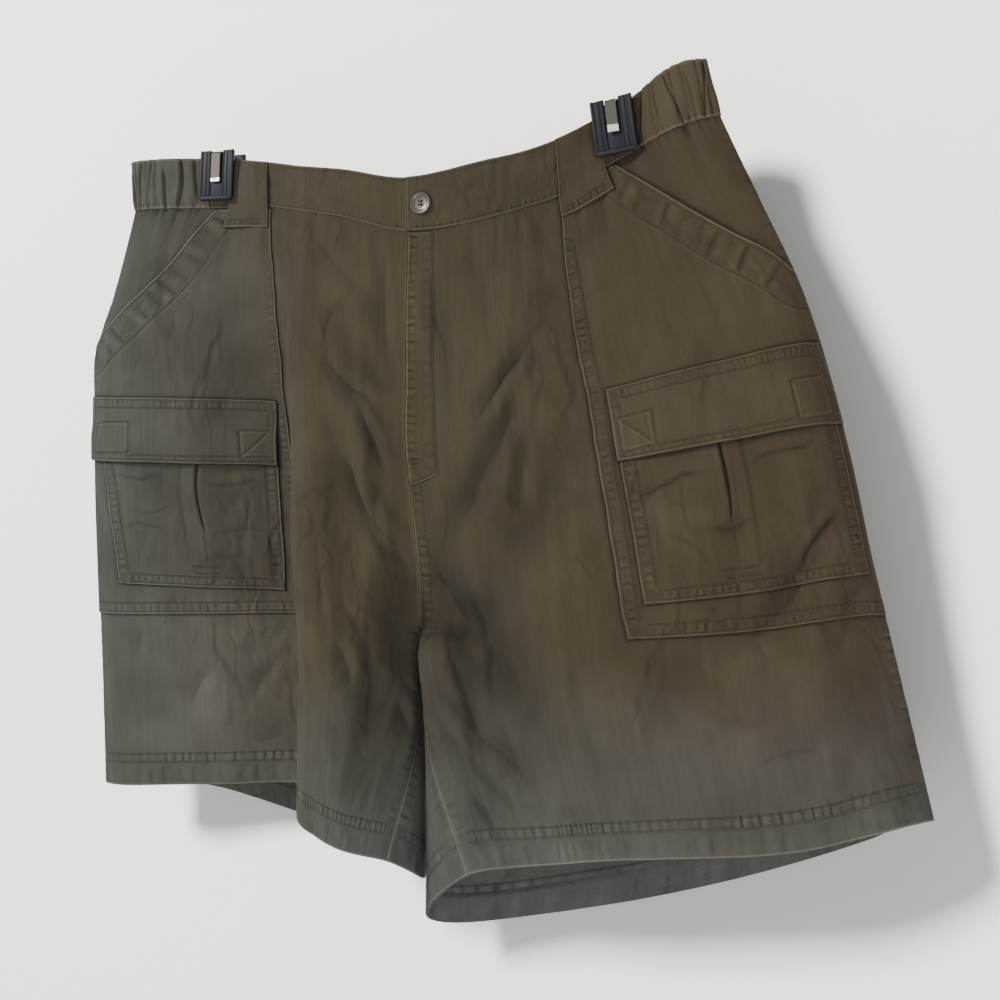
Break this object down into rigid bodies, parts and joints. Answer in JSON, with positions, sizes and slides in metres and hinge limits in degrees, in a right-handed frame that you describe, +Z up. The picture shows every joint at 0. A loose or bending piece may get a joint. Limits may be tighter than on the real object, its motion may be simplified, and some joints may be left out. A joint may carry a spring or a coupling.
{
  "type": "cargo shorts on two hanger clips",
  "caption": "knee-length twill cargo shorts hanging by the waistband from hanger clips, with slanting hand pockets, flapped cargo pockets, buttoned fly front and gathered elastic sides",
  "frame": {"origin": "midway between the two hanger clips, at the top edge of the waistband", "axes": "+Z up, the front of the shorts faces -Y, +X to the right of someone who looks at the front"},
  "size_m": [0.6972, 0.1391, 0.6511],
  "materials": {
    "twill": "washed cotton twill, dark olive brown",
    "twill_band": "washed cotton twill, lying double",
    "twill_pocket": "washed cotton twill, dark olive brown",
    "horn": "satin horn-coloured plastic",
    "black_plastic": "moulded black plastic",
    "steel": "plain spring steel strip",
    "zip_metal": "dull brass zip on its tape"
  },
  "bodies": {
    "root": {"front_left": "twill", "front_right": "twill", "back_left": "twill", "back_right": "twill", "hip_patch_left": "twill", "hip_patch_right": "twill", "cargo_pocket_left": "twill_pocket", "cargo_pocket_right": "twill_pocket", "cargo_flap_left": "twill_pocket", "cargo_flap_right": "twill_pocket", "waistband_front_left": "twill_band", "waistband_front_right": "twill_band", "waistband_elastic_left": "twill_band", "waistband_elastic_right": "twill_band", "waistband_back": "twill_band", "waistband_underlap": "twill_band", "belt_loop_left": "twill_band", "belt_loop_right": "twill_band", "belt_loop_back": "twill_band", "fly_front": "twill", "fly_zip": "zip_metal", "button": "horn", "clip_left_front_jaw": "black_plastic", "clip_left_back_jaw": "black_plastic", "clip_left_spring": "steel", "clip_right_front_jaw": "black_plastic", "clip_right_back_jaw": "black_plastic", "clip_right_spring": "steel"}
  },
  "joints": []
}
